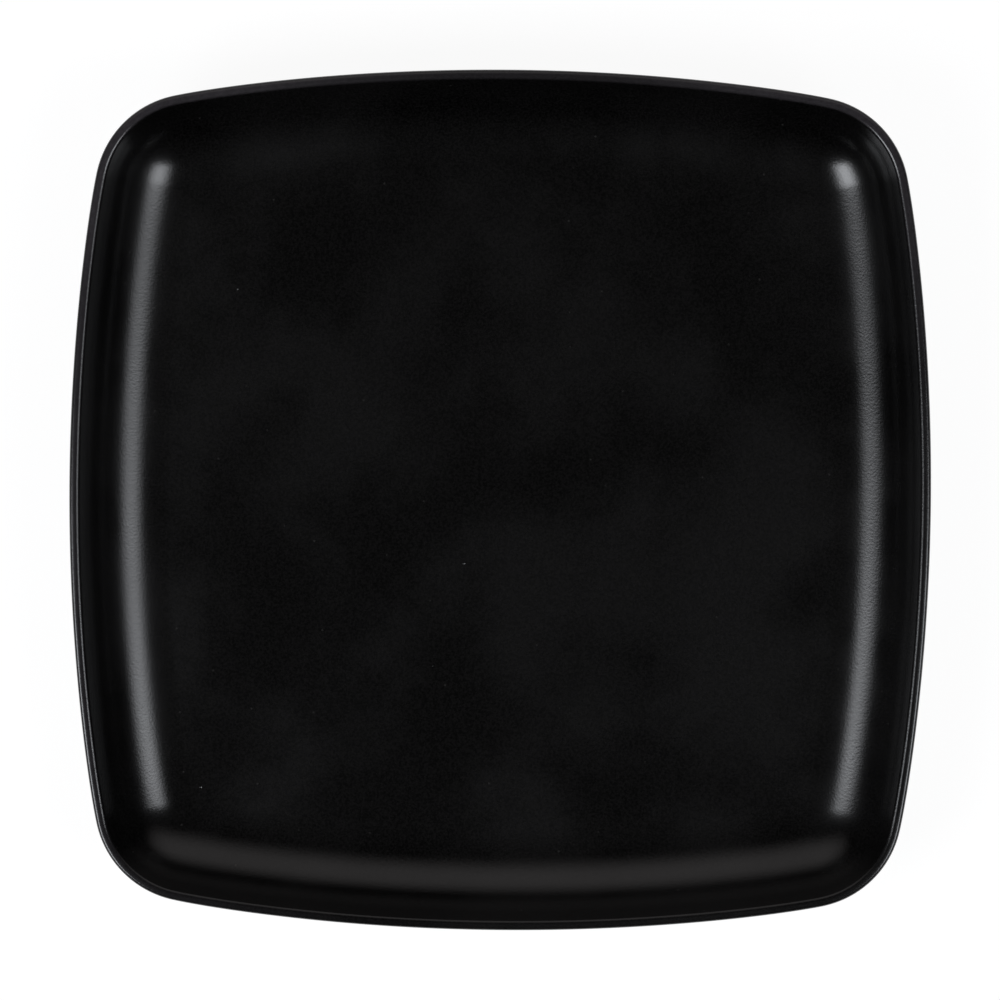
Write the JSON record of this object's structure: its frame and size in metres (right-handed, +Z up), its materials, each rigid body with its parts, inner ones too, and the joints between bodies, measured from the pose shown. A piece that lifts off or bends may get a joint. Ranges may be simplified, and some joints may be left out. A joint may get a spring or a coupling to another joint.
{
  "type": "square dinner plate",
  "caption": "Square dinner plate with bowed sides, rounded corners, a curved wall round a flat floor, and a foot ring.",
  "frame": {"origin": "middle of the plate, on the plane that its foot ring rests on", "axes": "+Z up out of the well, X and Y square to the plate's sides"},
  "size_m": [0.26, 0.26, 0.026],
  "materials": {
    "bare_stoneware": "bare fired stoneware, fine and matt",
    "black_glaze": "satin black glaze"
  },
  "bodies": {
    "root": {"stoneware_body": "bare_stoneware", "face_and_wall_glaze": "black_glaze", "base_glaze": "black_glaze"}
  },
  "joints": []
}
